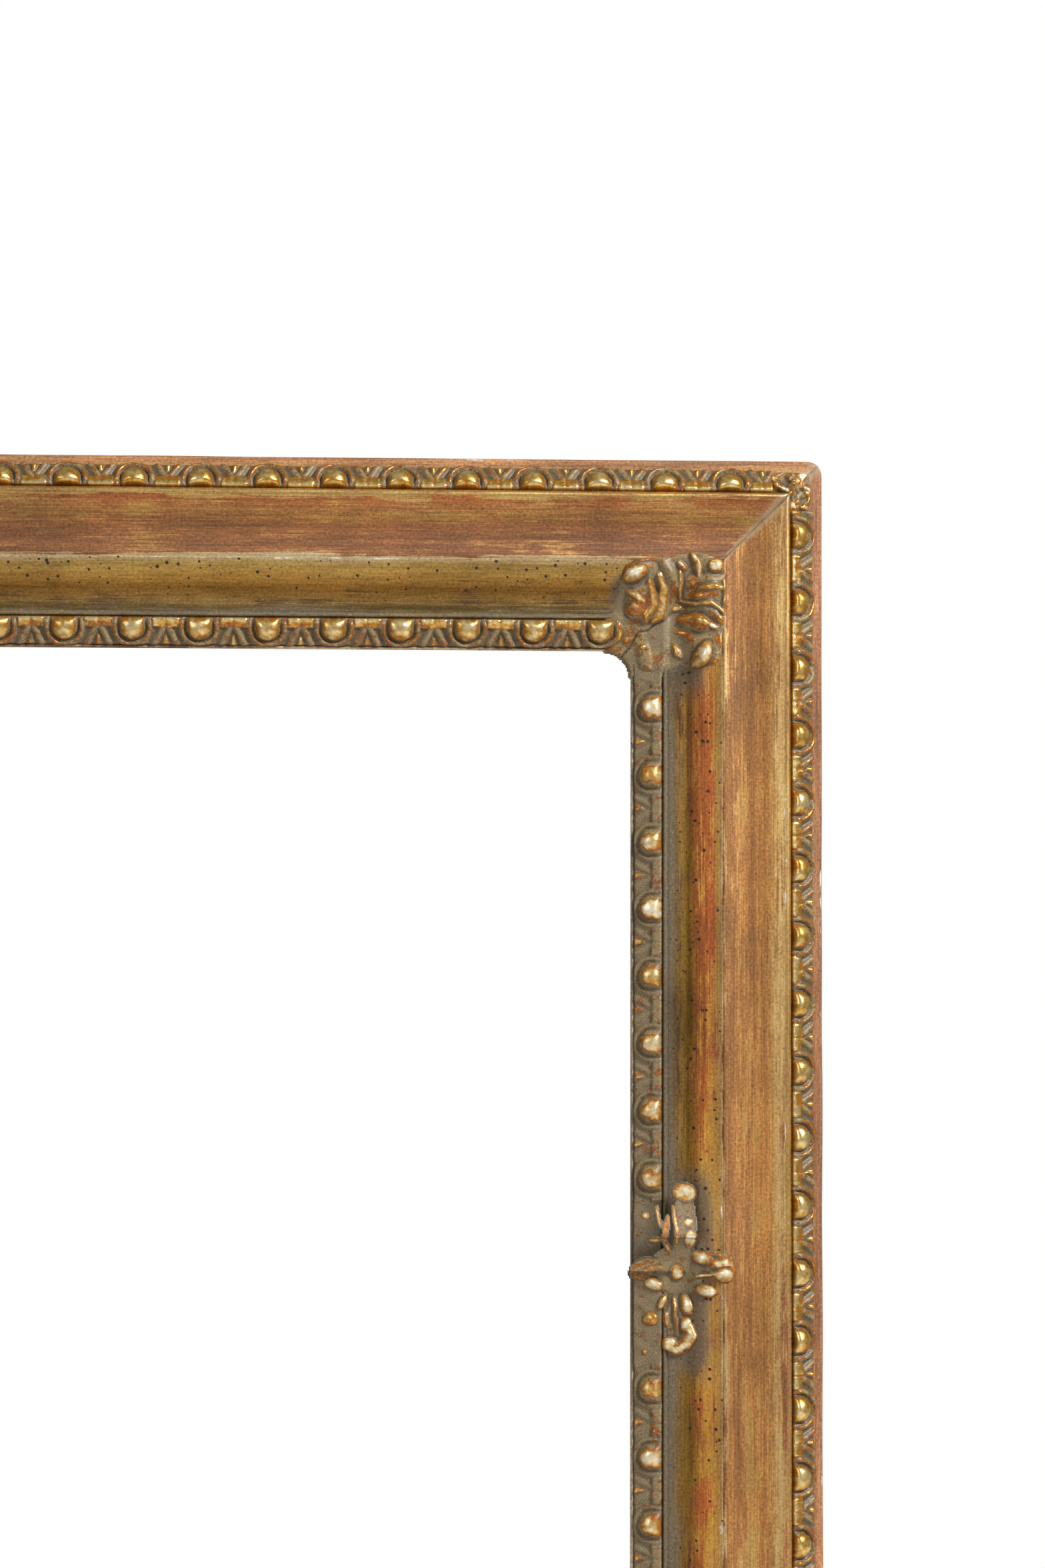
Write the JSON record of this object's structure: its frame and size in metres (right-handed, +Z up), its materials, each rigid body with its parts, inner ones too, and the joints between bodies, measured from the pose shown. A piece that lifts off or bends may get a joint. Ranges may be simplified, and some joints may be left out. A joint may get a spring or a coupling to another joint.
{
  "type": "ornate picture frame",
  "caption": "Gilded wooden picture frame with egg-and-dart borders, corner leaves and centre flowers, an open rebate with turn buttons behind, and hanging rings.",
  "frame": {"origin": "middle of the flat bottom edge, half way through the back frame's thickness", "axes": "+X to the right as seen from the front, +Y out of the back, +Z up. The gilded front faces -Y."},
  "size_m": [0.745, 0.0491, 0.635],
  "materials": {
    "gilt_moulding": "gilded and worn through to red-brown bole",
    "gilt_ornament": "gilded, with brown dirt in the hollows",
    "back_wood": "bare aged softwood",
    "peg_wood": "bare hardwood",
    "iron": "dark forged iron",
    "steel": "dull steel",
    "brass": "tarnished brass"
  },
  "bodies": {
    "frame": {"back_frame_top": "back_wood", "back_frame_bottom": "back_wood", "back_frame_left": "back_wood", "back_frame_right": "back_wood", "moulding_top": "gilt_moulding", "moulding_bottom": "gilt_moulding", "moulding_left": "gilt_moulding", "moulding_right": "gilt_moulding", "outer_egg_run_top": "gilt_ornament", "outer_egg_run_bottom": "gilt_ornament", "outer_egg_run_left": "gilt_ornament", "outer_egg_run_right": "gilt_ornament", "inner_egg_run_top": "gilt_ornament", "inner_egg_run_bottom": "gilt_ornament", "inner_egg_run_left": "gilt_ornament", "inner_egg_run_right": "gilt_ornament", "centre_flower_top": "gilt_ornament", "centre_flower_bottom": "gilt_ornament", "centre_flower_left": "gilt_ornament", "centre_flower_right": "gilt_ornament", "inner_corner_leaf_top_right": "gilt_ornament", "inner_corner_leaf_bottom_right": "gilt_ornament", "inner_corner_leaf_bottom_left": "gilt_ornament", "inner_corner_leaf_top_left": "gilt_ornament", "outer_corner_leaf_top_right": "gilt_ornament", "outer_corner_leaf_bottom_right": "gilt_ornament", "outer_corner_leaf_bottom_left": "gilt_ornament", "outer_corner_leaf_top_left": "gilt_ornament", "corner_pegs": "peg_wood", "moulding_nails": "iron", "hanger_screws": "steel", "turn_button_screws": "steel", "hanger_plate_left": "brass", "hanger_plate_right": "brass"},
    "ring_left": {"hanger_ring_left": "brass"},
    "ring_right": {"hanger_ring_right": "brass"},
    "button_top": {"turn_button_top": "brass"},
    "button_bottom": {"turn_button_bottom": "brass"},
    "button_left": {"turn_button_left": "brass"},
    "button_right": {"turn_button_right": "brass"}
  },
  "joints": [
    {"name": "ring_left_swing", "type": "hinge", "parent": "frame", "child": "ring_left", "pos_m": [-0.339, 0.01298, 0.432], "axis": [1, 0, 0], "range_deg": [0, 180]},
    {"name": "ring_right_swing", "type": "hinge", "parent": "frame", "child": "ring_right", "pos_m": [0.339, 0.01298, 0.432], "axis": [1, 0, 0], "range_deg": [0, 180]},
    {"name": "button_top_turn", "type": "hinge", "parent": "frame", "child": "button_top", "pos_m": [0, 0.0113, 0.5775], "axis": [0, 1, 0], "continuous": true},
    {"name": "button_bottom_turn", "type": "hinge", "parent": "frame", "child": "button_bottom", "pos_m": [0, 0.0113, 0.0575], "axis": [0, 1, 0], "continuous": true},
    {"name": "button_left_turn", "type": "hinge", "parent": "frame", "child": "button_left", "pos_m": [-0.315, 0.0113, 0.3175], "axis": [0, 1, 0], "continuous": true},
    {"name": "button_right_turn", "type": "hinge", "parent": "frame", "child": "button_right", "pos_m": [0.315, 0.0113, 0.3175], "axis": [0, 1, 0], "continuous": true}
  ]
}
